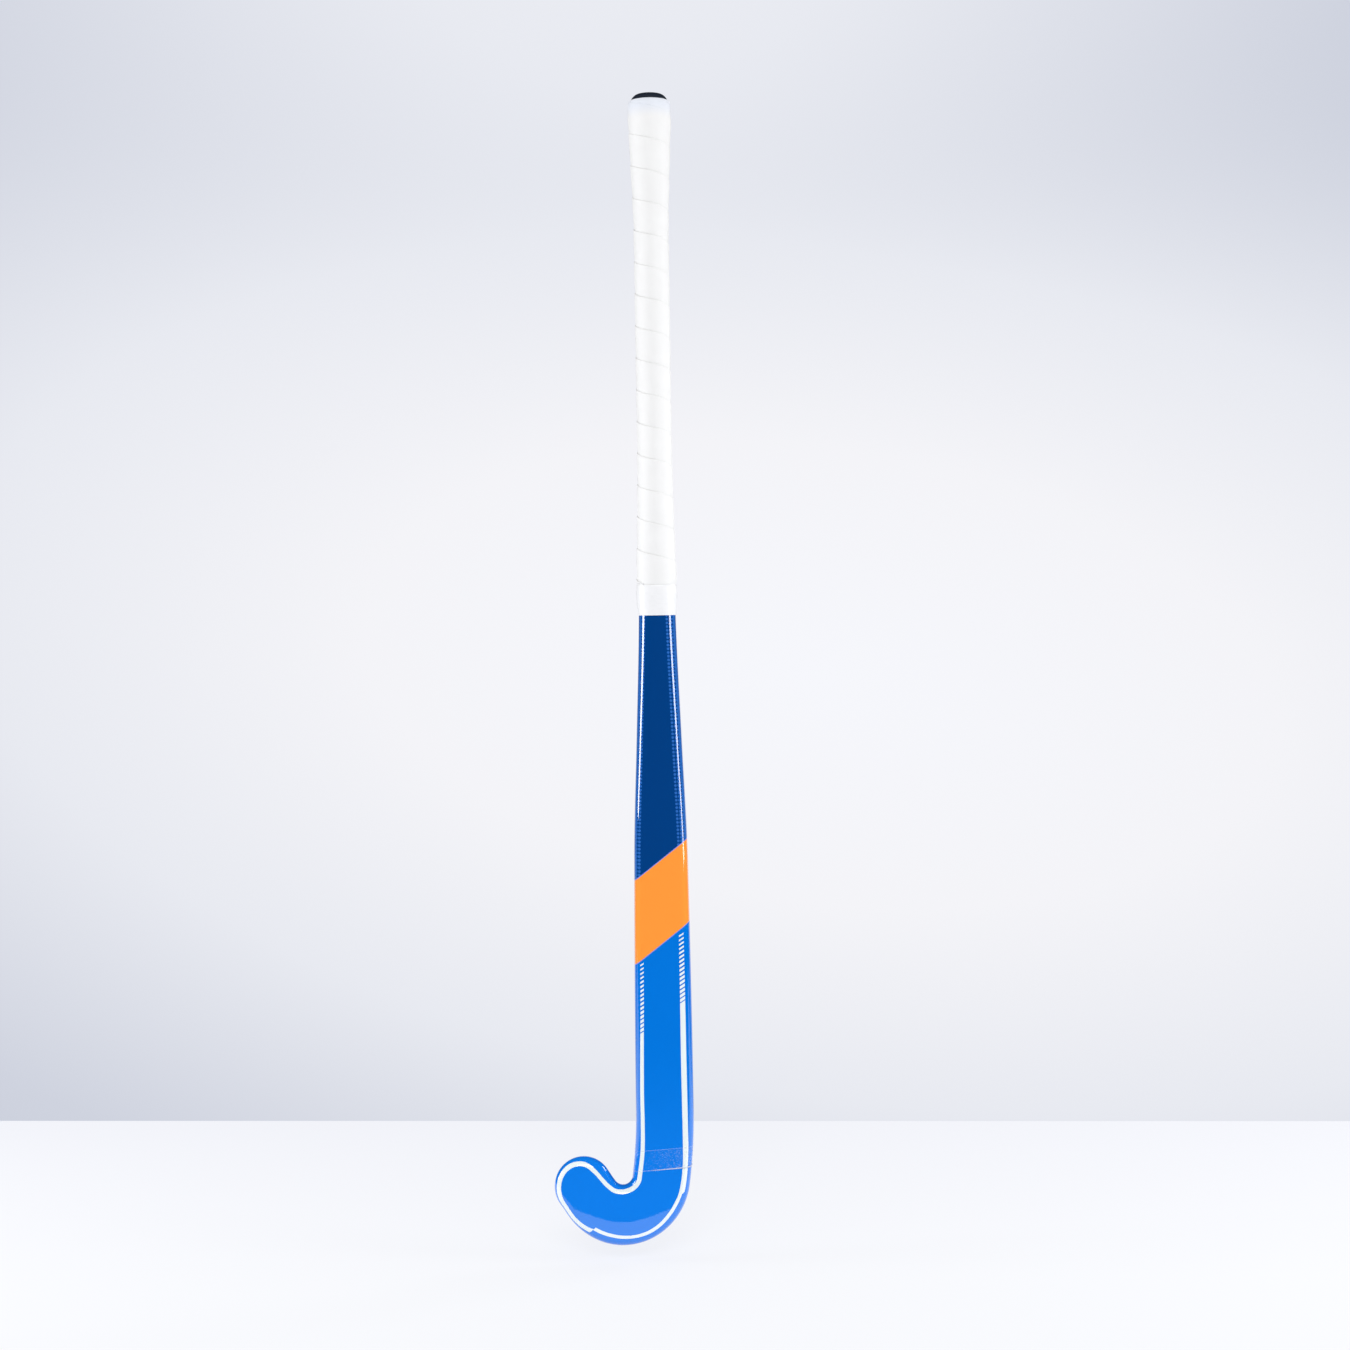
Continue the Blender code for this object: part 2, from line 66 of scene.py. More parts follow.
# Degrees from the side of a section to where the flat face meets its round edge
FACE_ANGLE = 75
HOOK_MIDDLE = THROAT_RADIUS + BLADE_WIDTH / 2
HOOK_CENTRE_Z = THROAT_RADIUS + BLADE_WIDTH + HOOK_EXTRA_WIDTH - STICK_LENGTH
BEND_START = HOOK_MIDDLE * math.sin(BEND_ANGLE) - HOOK_CENTRE_Z - BEND_RADIUS * math.sin(BEND_ANGLE)
HOOK_CENTRE_X = -BEND_RADIUS * (1 - math.cos(BEND_ANGLE)) - HOOK_MIDDLE * math.cos(BEND_ANGLE)
WIDTHS = [(0.0, 0.0296), (0.020, 0.0296), (0.115, 0.0242), (0.265, 0.0242), (0.430, 0.0306),
          (0.520, 0.0370), (0.620, 0.0440), (BEND_START, BLADE_WIDTH)]
DEPTHS = [(0.0, 0.0296), (0.020, 0.0296), (0.115, 0.0286), (0.265, 0.0286), (0.430, 0.0262),
          (0.520, 0.0242), (0.620, 0.0224), (BEND_START, BLADE_DEPTH)]


def smooth_step(value):
    value = min(max(value, 0.0), 1.0)
    return value * value * (3 - 2 * value)


def size_along(stations, along):
    """Smooth curve through (distance, size) stations that never overshoots them."""
    if along <= stations[0][0]:
        return stations[0][1]
    if along >= stations[-1][0]:
        return stations[-1][1]
    slopes = [(high - low) / (end - start) for (start, low), (end, high) in zip(stations, stations[1:])]
    tangents = [slopes[0]]
    for before, after in zip(slopes, slopes[1:]):
        tangents.append(2 * before * after / (before + after) if before * after > 0 else 0.0)
    tangents.append(0.0)
    index = max(i for i, (start, _) in enumerate(stations[:-1]) if start <= along)
    (start, low), (end, high) = stations[index], stations[index + 1]
    span = end - start
    share = (along - start) / span
    bend_in = share * (1 - share) ** 2 * span * tangents[index]
    bend_out = -share ** 2 * (1 - share) * span * tangents[index + 1]
    return low + (high - low) * smooth_step(share) + bend_in + bend_out


def bow(z):
    """Depth of the stick's middle plane: straight handle, an arc, then a flat head."""
    arc = BOW_END - BOW_START
    ratio = (BOW_START + arc / 2) / (STICK_LENGTH - BOW_END + arc / 2)
    head_slope = BOW_DEPTH / (BOW_START + arc / (2 * (1 + ratio))) * (1 + ratio)
    into_arc = min(max(-z - BOW_START, 0.0), arc)
    return -head_slope * (into_arc ** 2 / (2 * arc) + max(-z - BOW_END, 0.0))


def station(x, z, turn, width, depth, flatness=1.0, face=BLADE_DEPTH / 2):
    """One cross-section: its middle, how far the stick has turned there, and its sizes."""
    return {"x": x, "z": z, "turn": turn, "half": width / 2, "face": face, "back": depth - face,
            "flatness": flatness}


def shaft_station(along):
    flatness = smooth_step((along - FLAT_START) / (FLAT_END - FLAT_START))
    depth = size_along(DEPTHS, along)
    return station(0.0, -along, 0.0, size_along(WIDTHS, along), depth, flatness, depth / 2)


def bend_station(angle):
    x = -BEND_RADIUS * (1 - math.cos(angle))
    return station(x, -BEND_START - BEND_RADIUS * math.sin(angle), angle, BLADE_WIDTH, BLADE_DEPTH)


def hook_station(turn):
    """Sections fan round the middle of the throat, and are widest at the bottom."""
    reach = math.pi / 2 - BEND_ANGLE if turn < math.pi / 2 else HOOK_TURN - math.pi / 2
    swell = math.cos(math.pi / 2 * (turn - math.pi / 2) / reach) ** 2
    width = BLADE_WIDTH + HOOK_EXTRA_WIDTH * swell
    middle = THROAT_RADIUS + width / 2
    share = smooth_step((turn - BEND_ANGLE) / (HOOK_TURN - BEND_ANGLE))
    return station(HOOK_CENTRE_X + middle * math.cos(turn), HOOK_CENTRE_Z - middle * math.sin(turn),
                   turn, width, BLADE_DEPTH + (TOE_DEPTH - BLADE_DEPTH) * share)


def toe_station(share):
    across = HOOK_MIDDLE - TOE_INSET * smooth_step(share)
    run = TOE_STRAIGHT * share
    return station(HOOK_CENTRE_X + across * math.cos(HOOK_TURN) - run * math.sin(HOOK_TURN),
                   HOOK_CENTRE_Z - across * math.sin(HOOK_TURN) - run * math.cos(HOOK_TURN),
                   HOOK_TURN, BLADE_WIDTH, TOE_DEPTH)


def section_point(place, angle, offset):
    """A point of a section, across and in depth, at an angle from the outer side.

    The oval handle runs into a flat face with round edges and a domed back. The face is
    very slightly crowned, as a polished moulding is.
    """
    half, face, back = place["half"] + offset, place["face"] + offset, place["back"] + offset
    edge = EDGE_RADIUS + offset
    sine, cosine = math.sin(angle), math.cos(angle)
    oval = (half * cosine, (back if sine > 0 else face) * sine)
    flat_end = math.radians(FACE_ANGLE)
    below = -math.asin(max(-1.0, min(1.0, sine)))
    if below > flat_end:
        across = (half - edge) * (math.pi / 2 - below) / (math.pi / 2 - flat_end)
        deep = -face + FACE_CROWN * (across / half) ** 2
    elif below > 0:
        corner = (flat_end - below) / flat_end * math.pi / 2
        across = half - edge + edge * math.sin(corner)
        crowned = face - FACE_CROWN * (across / half) ** 2
        deep = -SIDE_FORWARD - (crowned - SIDE_FORWARD) * math.cos(corner)
    else:
        across = half * abs(cosine) ** (2 / BACK_POWER)
        deep = -SIDE_FORWARD + (back + SIDE_FORWARD) * abs(sine) ** (2 / BACK_POWER)
    across = math.copysign(across, cosine)
    blend = place["flatness"]
    return oval[0] + (across - oval[0]) * blend, oval[1] + (deep - oval[1]) * blend


def set_point(place, turn, across, deep):
    z = place["z"] - across * math.sin(turn)
    return Vector((place["x"] + across * math.cos(turn), bow(z) + deep, z))


def spread(start, end, steps):
    return [start + (end - start) * step / steps for step in range(steps)]


# The section's points from the middle of the face round the outer side, close in its edges
FACE_STEPS, EDGE_STEPS, BACK_STEPS = 10, 14, 40
SECTION = (spread(-90, -FACE_ANGLE, FACE_STEPS) + spread(-FACE_ANGLE, 0, EDGE_STEPS)
           + spread(0, 180, BACK_STEPS) + spread(180, 180 + FACE_ANGLE, EDGE_STEPS)
           + spread(180 + FACE_ANGLE, 270, FACE_STEPS))
SECTION = [math.radians(angle) for angle in SECTION]
BACK_MIDDLE = len(SECTION) // 2

SHAFT_STEPS, BEND_STEPS, HEEL_STEPS = 104, 14, 40
HOOK_STEPS, TIP_STEPS, TOE_STEPS = 26, 9, 36
shell_places = [shaft_station(along) for along in spread(SHELL_TOP, BEND_START, SHAFT_STEPS)]
shell_places += [bend_station(angle) for angle in spread(0.0, BEND_ANGLE, BEND_STEPS)]
shell_places += [hook_station(turn) for turn in spread(BEND_ANGLE, math.pi / 2, HEEL_STEPS)]
shell_places += [hook_station(turn) for turn in spread(math.pi / 2, HOOK_TURN, HOOK_STEPS)]
shell_places += [toe_station(share) for share in spread(0.0, 1.0, TIP_STEPS)] + [toe_station(1.0)]


def skin(mesh, places, offset, outward, material):
    """A tube through the places, closed by the round toe. Gives back its ring at the mouth.

    Every face corner gets its distance in from the outline, below zero on the back, and
    its run along the outline from the tip of the toe, below zero on the outer side.
    """
    layer = mesh.loops.layers.uv.verify()
    count = len(SECTION)
    rings, insets = [], []
    for place in places:
        pairs = [section_point(place, angle, offset) for angle in SECTION]
        rings.append([mesh.verts.new(set_point(place, place["turn"], *pair)) for pair in pairs])
        outline = [place["half"] - abs(across) for across, _ in pairs]
        sides = [math.sin(angle) for angle in SECTION]
        insets.append([inset if side <= 0 else -inset for inset, side in zip(outline, sides)])
    columns, swings = [], []
    place = dict(places[-1])
    for step in range(1, TOE_STEPS):
        swing = math.pi * step / TOE_STEPS
        place["half"] = places[-1]["half"] - TOE_FLATTENING * math.sin(swing)
        pairs = [section_point(place, angle, offset) for angle in SECTION[:BACK_MIDDLE + 1]]
        turn = place["turn"] + swing
        columns.append([mesh.verts.new(set_point(place, turn, *pair)) for pair in pairs[1:-1]])
        swings.append([place["half"] - abs(across) for across, _ in pairs])
    # Run along the outline, down the outer side, round the toe and up the inner side
    outer_index = FACE_STEPS + EDGE_STEPS
    inner_index = count - outer_index
    line = [ring[outer_index].co for ring in rings]
    line += [column[outer_index - 1].co for column in columns]
    line += [ring[inner_index].co for ring in reversed(rings)]
    runs = [0.0]
    for first, second in zip(line, line[1:]):
        runs.append(runs[-1] + math.hypot(second.x - first.x, second.z - first.z))
    toe_end = len(rings) + len(columns)
    tip = runs[len(rings) + len(columns) // 2]
    outer_run = [run - tip for run in runs[:len(rings)]]
    toe_run = [run - tip for run in runs[len(rings):toe_end]]
    inner_run = [run - tip for run in runs[toe_end:]][::-1]

    def face(corners):
        """Corners are (vertex, inset, run)."""
        if not outward:
            corners = corners[::-1]
        made = mesh.faces.new([corner[0] for corner in corners])
        made.smooth = True
        made.material_index = material
        for loop, (_, inset, run) in zip(made.loops, corners):
            loop[layer].uv = (inset, run)

    for index in range(count):
        after = (index + 1) % count
        run = outer_run if index < BACK_MIDDLE else inner_run
        for upper in range(len(rings) - 1):
            lower = upper + 1
            face([(rings[upper][index], insets[upper][index], run[upper]),
                  (rings[lower][index], insets[lower][index], run[lower]),
                  (rings[lower][after], insets[lower][after], run[lower]),
                  (rings[upper][after], insets[upper][after], run[upper])])
    last = rings[-1]
    sides = [-1 if math.sin(angle) > 0 else 1 for angle in SECTION[:BACK_MIDDLE + 1]]
    last_insets = [abs(inset) for inset in insets[-1][:BACK_MIDDLE + 1]]
    strips = [(last[1:BACK_MIDDLE], last_insets, outer_run[-1])]
    strips += list(zip(columns, swings, toe_run))
    strips.append(([last[count - index] for index in range(1, BACK_MIDDLE)], last_insets, inner_run[-1]))
    for (first, in_first, run_first), (second, in_second, run_second) in zip(strips, strips[1:]):
        face([(last[0], in_first[0], (run_first + run_second) / 2),
              (second[0], in_second[1], run_second), (first[0], in_first[1], run_first)])
        for row in range(len(first) - 1):
            here, there = sides[row + 1], sides[row + 2]
            face([(first[row], here * in_first[row + 1], run_first),
                  (second[row], here * in_second[row + 1], run_second),
                  (second[row + 1], there * in_second[row + 2], run_second),
                  (first[row + 1], there * in_first[row + 2], run_first)])
        face([(first[-1], -in_first[-2], run_first), (second[-1], -in_second[-2], run_second),
              (last[BACK_MIDDLE], -in_first[-1], (run_first + run_second) / 2)])
    return rings[0]


def add_piece(name, mesh, *materials):
    """Puts a finished bmesh into the scene as a named piece."""
    data = bpy.data.meshes.new(name)
    mesh.to_mesh(data)
    mesh.free()
    for material in materials:
        data.materials.append(material)
    piece = bpy.data.objects.new(name, data)
    bpy.context.scene.collection.objects.link(piece)
    return piece


# The printed line's outer and inner border, in mm in from the outline, by its run in mm from
# the tip of the toe. It is wide down the shaft and round the toe, and thin along the bottom.
WIDE_LINE = [(-640, 5.2, 9.2), (-376, 5.2, 9.3), (-328, 5.2, 9.6), (-280, 5.2, 9.9), (-256, 5.1, 9.8),
             (-234, 4.9, 9.6), (-221, 4.6, 9.2), (-209, 3.9, 8.6), (-197, 3.4, 7.8), (-184, 3.2, 7.6),
             (-176, 3.5, 8.0), (-150, 4.5, 8.6), (-80, 4.2, 8.3), (-69, 3.8, 7.9), (-66, 3.4, 7.1),
             (-58, 2.4, 6.1), (-50, 1.9, 5.4), (-42, 1.7, 5.2), (-34, 1.8, 5.5), (-27, 1.9, 5.8),
             (-18, 1.9, 5.7), (-10, 1.6, 5.3), (-1, 1.4, 5.0), (5, 1.5, 5.1), (11, 2.0, 5.4),
             (17, 2.6, 6.4), (23, 3.9, 7.7), (28, 5.1, 8.8), (34, 5.8, 9.3), (39, 5.7, 9.1),
             (46, 4.7, 8.2), (52, 3.4, 6.9), (56, 2.3, 5.8), (60, 2.0, 5.5), (64, 2.6, 6.4),
             (68, 3.8, 7.6), (89, 4.6, 8.1), (111, 3.9, 7.3), (133, 3.7, 6.9), (157, 3.9, 7.1),
             (181, 4.3, 7.3), (205, 4.7, 7.6), (640, 4.7, 7.6)]
THIN_LINE = [(-640, 4.0, 8.0), (-176, 4.6, 8.0), (-170, 5.1, 8.3), (-159, 5.7, 8.8), (-147, 5.9, 8.9),
             (-135, 5.7, 8.7), (-124, 5.8, 8.7), (-112, 6.4, 9.1), (-101, 6.9, 9.7), (-89, 7.3, 10.2),
             (-77, 7.1, 10.2), (-60, 6.9, 10.0), (-59, 98.0, 99.0), (640, 98.0, 99.0)]


def border(table, column, run):
    """A border's inset at a run, straight between the table's rows."""
    run *= 1000
    for first, second in zip(table, table[1:]):
        if run <= second[0]:
            share = max(0.0, (run - first[0]) / (second[0] - first[0]))
            return (first[column] + (second[column] - first[column]) * share) / 1000
    return table[-1][column] / 1000


def add_line_map(mesh, name, table):
    """A UV map that runs from 0 to 1 across a printed line, with the run as its other axis."""
    outline = mesh.loops.layers.uv[0]
    layer = mesh.loops.layers.uv.new(name)
    known = {}
    for face in mesh.faces:
        for loop in face.loops:
            inset, run = loop[outline].uv
            if run not in known:
                known[run] = border(table, 1, run), border(table, 2, run)
            near, far = known[run]
            loop[layer].uv = ((inset - near) / (far - near), run)


def hex_colour(code):
    """A colour written as sRGB hex, turned to the linear one that the shader takes."""
    parts = [int(code[i:i + 2], 16) / 255 for i in (0, 2, 4)]
    return tuple(p / 12.92 if p <= 0.04045 else ((p + 0.055) / 1.055) ** 2.4 for p in parts) + (1.0,)


def add_node(tree, kind, inputs=(), **settings):
    """Adds a node with its settings, and gives each input a plain value or a link."""
    node = tree.nodes.new(kind)
    for name, value in settings.items():
        setattr(node, name, value)
    pairs = inputs.items() if isinstance(inputs, dict) else enumerate(inputs)
    for key, value in pairs:
        socket = node.inputs[key] if isinstance(key, int) else next(
            item for item in node.inputs if item.enabled and item.name == key)
        if isinstance(value, bpy.types.Node):
            value = next(item for item in value.outputs if item.enabled)
        if isinstance(value, bpy.types.NodeSocket):
            tree.links.new(value, socket)
        elif value is not None:
            socket.default_value = value
    return node


def calculate(operation, *values):
    """A math node, in the node tree that its first linked value belongs to."""
    linked = (bpy.types.Node, bpy.types.NodeSocket)
    tree = next(value for value in values if isinstance(value, linked)).id_data
    return add_node(tree, "ShaderNodeMath", values, operation=operation)


def ramp(value, start, end, low, high, kind="LINEAR", clamp=True):
    """Maps a value's range to another one."""
    return add_node(value.id_data, "ShaderNodeMapRange", [value, start, end, low, high],
                    interpolation_type=kind, clamp=clamp)


def mix(share, low, high, kind="RGBA"):
    """Blends two numbers, or two colours that are each a hex code or a node, by a share."""
    low, high = (hex_colour(item) if isinstance(item, str) else item for item in (low, high))
    return add_node(share.id_data, "ShaderNodeMix", {"Factor": share, "A": low, "B": high},
                    data_type=kind)


def colour_ramp(value, stops, kind="LINEAR"):
    """A colour ramp through stops of a position and a hex code."""
    node = add_node(value.id_data, "ShaderNodeValToRGB", [value])
    node.color_ramp.interpolation = kind
    elements = node.color_ramp.elements
    for number, (at, code) in enumerate(stops):
        element = elements[number] if number < 2 else elements.new(at)
        element.position = at
        element.color = hex_colour(code)
    return node


def new_material(name, **sockets):
    """A material with one Principled shader, its plain values set on its own sockets.

    It comes with its node tree, its shader and its coordinates in metres.
    """
    material = bpy.data.materials.new(name)
    material.use_nodes = True
    tree = material.node_tree
    shader = tree.nodes["Principled BSDF"]
    for key, value in sockets.items():
        shader.inputs[key.replace("_", " ")].default_value = value
    return material, tree, shader, add_node(tree, "ShaderNodeTexCoord").outputs["Object"]


def dress(shader, tone, height, strength, depth):
    """Gives a shader its colour, and a bump of a depth in metres from a height."""
    tree = shader.id_data
    bump = add_node(tree, "ShaderNodeBump", {"Height": height, "Strength": strength, "Distance": depth})
    tree.links.new(tone.outputs[2], shader.inputs["Base Color"])
    tree.links.new(bump.outputs[0], shader.inputs["Normal"])
    return bump


# Sprayed polyurethane paint under clear coat: even, saturated colour, mirror-sharp highlights in
# the coat, and a ripple of a few millimetres that only shows where a reflection ends.
lacquer, tree, shader, place = new_material("clear_coated_paint", Roughness=0.03, IOR=1.5,
                                            Coat_Weight=1.0, Coat_Roughness=0.01, Coat_IOR=1.5)
xyz = add_node(tree, "ShaderNodeSeparateXYZ", [place])
# The colours, the ends of the dashes and the breaks of the printed line lie on cuts of one slant
SLANT = 0.775
slide = calculate("MULTIPLY_ADD", xyz.outputs["X"], -SLANT, xyz.outputs["Z"])
PAINT_TOP, PAINT_BOTTOM = -0.600, -0.700
PAINTS = [(-0.700, "0075db"), (-0.6870, "7f86e0"), (-0.6860, "ff9a3c"), (-0.6190, "7f86e0"),
          (-0.6180, "003d80")]
PAINT_SPAN = PAINT_TOP - PAINT_BOTTOM
share = ramp(slide, PAINT_BOTTOM, PAINT_TOP, 0.0, 1.0)
paints = colour_ramp(share, [((level - PAINT_BOTTOM) / PAINT_SPAN, code) for level, code in PAINTS],
                     "CONSTANT")
# Painted light: the blue is made lighter towards the head, where more light falls on it
PAINTED_LIGHT_TOP, PAINTED_LIGHT_BOTTOM = -0.76, -0.90
painted_light = ramp(xyz.outputs["Z"], PAINTED_LIGHT_TOP, PAINTED_LIGHT_BOTTOM, 0.0, 1.0, "SMOOTHSTEP")
paints = mix(painted_light, paints, "0e7ee9")
# White print: a line inside the outline, broken into slanted dashes at its upper end. The real
# dashes, 2.15 mm apart, are drawn at 3.5 mm, so that they show. The line changes from its wide to
# its thin course at two cuts, and fills all but the outermost part of each one's map.
WIDE_FILL, THIN_FILL = 0.465, 0.44
wide = add_node(tree, "ShaderNodeSeparateXYZ", [add_node(tree, "ShaderNodeUVMap", uv_map="wide_line")])
thin = add_node(tree, "ShaderNodeSeparateXYZ", [add_node(tree, "ShaderNodeUVMap", uv_map="thin_line")])
on_wide = calculate("COMPARE", wide, 0.5, WIDE_FILL)
on_thin = calculate("COMPARE", thin, 0.5, THIN_FILL)
HOOK_SIDE_X = -0.029
TOE_CUT, HEEL_CUT = -0.8667, -0.8955
heel_side = calculate("GREATER_THAN", xyz.outputs["X"], HOOK_SIDE_X)
cut = ramp(heel_side, 0.0, 1.0, TOE_CUT, HEEL_CUT)
is_thin = calculate("LESS_THAN", slide, cut)
line = mix(is_thin, on_wide, on_thin, "FLOAT")
DASH_PITCH, DASH_RISE = 0.0035, 0.62
DASH_TOP, DASH_END = -0.6886, -0.7455
TOP_FILL, END_FILL = 0.35, 0.75
rise = calculate("MULTIPLY_ADD", xyz.outputs["X"], -DASH_RISE, xyz.outputs["Z"])
beat = calculate("FRACT", calculate("DIVIDE", rise, DASH_PITCH))
dash = ramp(slide, DASH_END, DASH_TOP, END_FILL, TOP_FILL, clamp=False)
dash = calculate("LESS_THAN", beat, dash)
solid = calculate("LESS_THAN", slide, DASH_END)
drawn = calculate("MAXIMUM", dash, solid)
ended = calculate("LESS_THAN", slide, DASH_TOP)
drawn = calculate("MULTIPLY", drawn, ended)
drawn = calculate("MULTIPLY", drawn, line)
# A band of mid-blue dots that thins out from the edge over the navy, wide on the outer side. The
# real pitch of 0.8 mm is drawn at 3 mm, so that the dots show.
DOT_PITCH, OUTER_REACH, INNER_REACH = 0.0030, 0.0088, 0.0060
EDGE_DOT, LAST_DOT = 0.60, 0.30
outline = add_node(tree, "ShaderNodeUVMap", uv_map="outline")
cells = add_node(tree, "ShaderNodeVectorMath", {0: outline, "Scale": 1 / DOT_PITCH}, operation="SCALE")
cells = add_node(tree, "ShaderNodeVectorMath", [cells], operation="FRACTION")
cells = add_node(tree, "ShaderNodeVectorMath", [cells, (0.5, 0.5, 0.0)], operation="DISTANCE")
inset = add_node(tree, "ShaderNodeSeparateXYZ", [outline])
deep = calculate("ABSOLUTE", inset)
reach = ramp(inset.outputs["Y"], -0.001, 0.001, OUTER_REACH, INNER_REACH)
size = ramp(deep, 0.0, reach, EDGE_DOT, LAST_DOT)
dots = calculate("LESS_THAN", cells.outputs["Value"], size)
inside = calculate("LESS_THAN", deep, reach)
dots = calculate("MULTIPLY", dots, inside)
on_navy = calculate("GREATER_THAN", slide, PAINTS[-1][0])
dots = calculate("MULTIPLY", dots, on_navy)
painted = mix(dots, paints, "2c69bc")
printed = mix(drawn, painted, "eaf2f2")
RIPPLE, RIPPLE_HEIGHT = 0.0026, 0.000003
ripple = add_node(tree, "ShaderNodeTexNoise", {"Vector": place, "Scale": 1 / RIPPLE, "Detail": 1.0})
bump = dress(shader, printed, ripple.outputs[0], 1.0, RIPPLE_HEIGHT)
tree.links.new(bump.outputs[0], shader.inputs["Coat Normal"])

# Bare laminate inside the tube: black fibre in resin, satin, with a 2 mm twill that catches light
laminate, tree, shader, place = new_material("carbon_fibre_laminate", Roughness=0.42, IOR=1.55)
TOW = 0.002
# The length after which the bands of a wave texture repeat at a scale of 1
WAVE_PERIOD = 0.3142
weave = add_node(tree, "ShaderNodeTexWave", {"Vector": place, "Scale": WAVE_PERIOD / TOW / 2,
                                             "Distortion": 0.4, "Detail": 1.0},
                 bands_direction="DIAGONAL")
cross = add_node(tree, "ShaderNodeTexWave", {"Vector": place, "Scale": WAVE_PERIOD / TOW,
                                             "Distortion": 0.3, "Detail": 1.0}, bands_direction="Z")
both = calculate("MULTIPLY", weave.outputs[1], cross.outputs[1])
dress(shader, mix(both, "16171a", "33353b"), both, 0.6, 0.0001)

mesh = bmesh.new()
outer_mouth = skin(mesh, shell_places, 0.0, True, 0)
inner_mouth = skin(mesh, shell_places, -SHELL_WALL, False, 1)
for index in range(len(SECTION)):
    after = (index + 1) % len(SECTION)
    rim = [outer_mouth[index], outer_mouth[after], inner_mouth[after], inner_mouth[index]]
    mesh.faces.new(rim).material_index = 1
add_line_map(mesh, "wide_line", WIDE_LINE)
add_line_map(mesh, "thin_line", THIN_LINE)
shell = add_piece("lacquered_shell", mesh, lacquer, laminate)
shell.data.uv_layers[0].name = "outline"
shell.data.set_sharp_from_angle(angle=math.radians(50))
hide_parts("outer_shell")
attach(shell, "root")

# Inside the shell: a plug glued in the butt, foam poured into the handle and the head, a laminate
# wall between the two chambers of the shaft and a sock of extra plies round the head.
foam, tree, shader, place = new_material("rigid_polyurethane_foam", Roughness=0.9, IOR=1.45)
CELL = 0.0006
cells = add_node(tree, "ShaderNodeTexVoronoi", {"Vector": place, "Scale": 1 / CELL}).outputs["Distance"]
dress(shader, mix(cells, "e6d39c", "c9ae6a"), cells, 0.8, 0.0003)
plug_plastic, tree, shader, place = new_material("moulded_polypropylene", Roughness=0.45, IOR=1.49)
PLASTIC_GRAIN = 0.0004
grain = add_node(tree, "ShaderNodeTexNoise", {"Vector": place, "Scale": 1 / PLASTIC_GRAIN,
                                              "Detail": 2.0}).outputs[0]
dress(shader, mix(grain, "9a9da2", "a9acb1"), grain, 0.3, 0.0001)
for name, finish in (("butt_plug", plug_plastic), ("handle_foam", foam), ("head_core", foam),
                     ("centre_rib", laminate), ("head_liner", laminate)):
    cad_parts[name].material_slots[0].material = finish

# Grip: one strip of cushioned white polyurethane tape, wound from the butt down. Every turn laps
# the lower edge of the turn above it, so a soft raised edge runs round the handle at each turn.
GRIP_BOTTOM = 0.3984
TAPE = {"Pitch": 0.0257, "Lap": 0.0030, "Upper Thickness": 0.0022, "Lower Thickness": 0.0015,
        "Tail Thickness": 0.0006, "Shortest End": 0.0040, "Top": SHELL_TOP, "Bottom": GRIP_BOTTOM,
        "Top Rounding": 0.0058, "Top Bulge": 0.0006, "End Press": 0.0011, "Cushion Wave": 0.00016}
STEPS_A_TURN, PROFILE_STEPS = 72, 36
# Room under the tape, and a hair of it between one turn and the next
TAPE_GAP, LAP_GAP = 0.0003, 0.00003
BULGE_START, BULGE_END = 0.022, 0.040
PRESS_START, PRESS_END, UNPRESSED = 0.007, 0.004, 0.01
# The underside starts to rise just before the first turn has gone round
RISE_START = 0.93
# A section's side as a power of its height, so that it is full with round edges
SIDE_POWER = 0.3
CUSHION_SCALE, CUSHION_SIDE = 45.0, 0.3
HANDLE_RADIUS = 0.0145
RAY_START, RAY_LENGTH = 0.05, 0.1

tape_white, tree, shader, place = new_material("cushioned_polyurethane_tape", Roughness=0.62,
                                               IOR=1.45, Sheen_Weight=0.15, Sheen_Roughness=0.5)
# Leather-like grain of 0.5 mm, drawn at 0.8 mm so that it shows
LEATHER_GRAIN, TAPE_CLOUD = 0.0008, 0.012
grain = add_node(tree, "ShaderNodeTexVoronoi", {"Vector": place, "Scale": 1 / LEATHER_GRAIN},
                 feature="SMOOTH_F1").outputs["Distance"]
cloud = add_node(tree, "ShaderNodeTexNoise", {"Vector": place, "Scale": 1 / TAPE_CLOUD, "Detail": 2.0})
tone = mix(cloud.outputs[0], "e9e9e9", "eeeeee")
# Painted reflection: the tape over the first turn is tinted a little cooler and darker, for the pale
# blue sheen at the top of the grip
height = add_node(tree, "ShaderNodeSeparateXYZ", [place]).outputs["Z"]
REFLECTION_BOTTOM, REFLECTION_TOP = -0.022, -0.010
painted_reflection = ramp(height, REFLECTION_BOTTOM, REFLECTION_TOP, 0.0, 1.0, "SMOOTHSTEP")
dress(shader, mix(painted_reflection, tone, "e0e4ed"), grain, 0.25, 0.0001)

winding = bpy.data.node_groups.new("tape_winding", "GeometryNodeTree")
sockets = {}
for name, value in TAPE.items():
    item = winding.interface.new_socket(name, in_out="INPUT", socket_type="NodeSocketFloat")
    item.default_value = value
    sockets[name] = item.identifier
for name, kind in (("Handle", "NodeSocketObject"), ("Material", "NodeSocketMaterial")):
    sockets[name] = winding.interface.new_socket(name, in_out="INPUT", socket_type=kind).identifier
winding.interface.new_socket("Geometry", in_out="OUTPUT", socket_type="NodeSocketGeometry")
given = add_node(winding, "NodeGroupInput").outputs
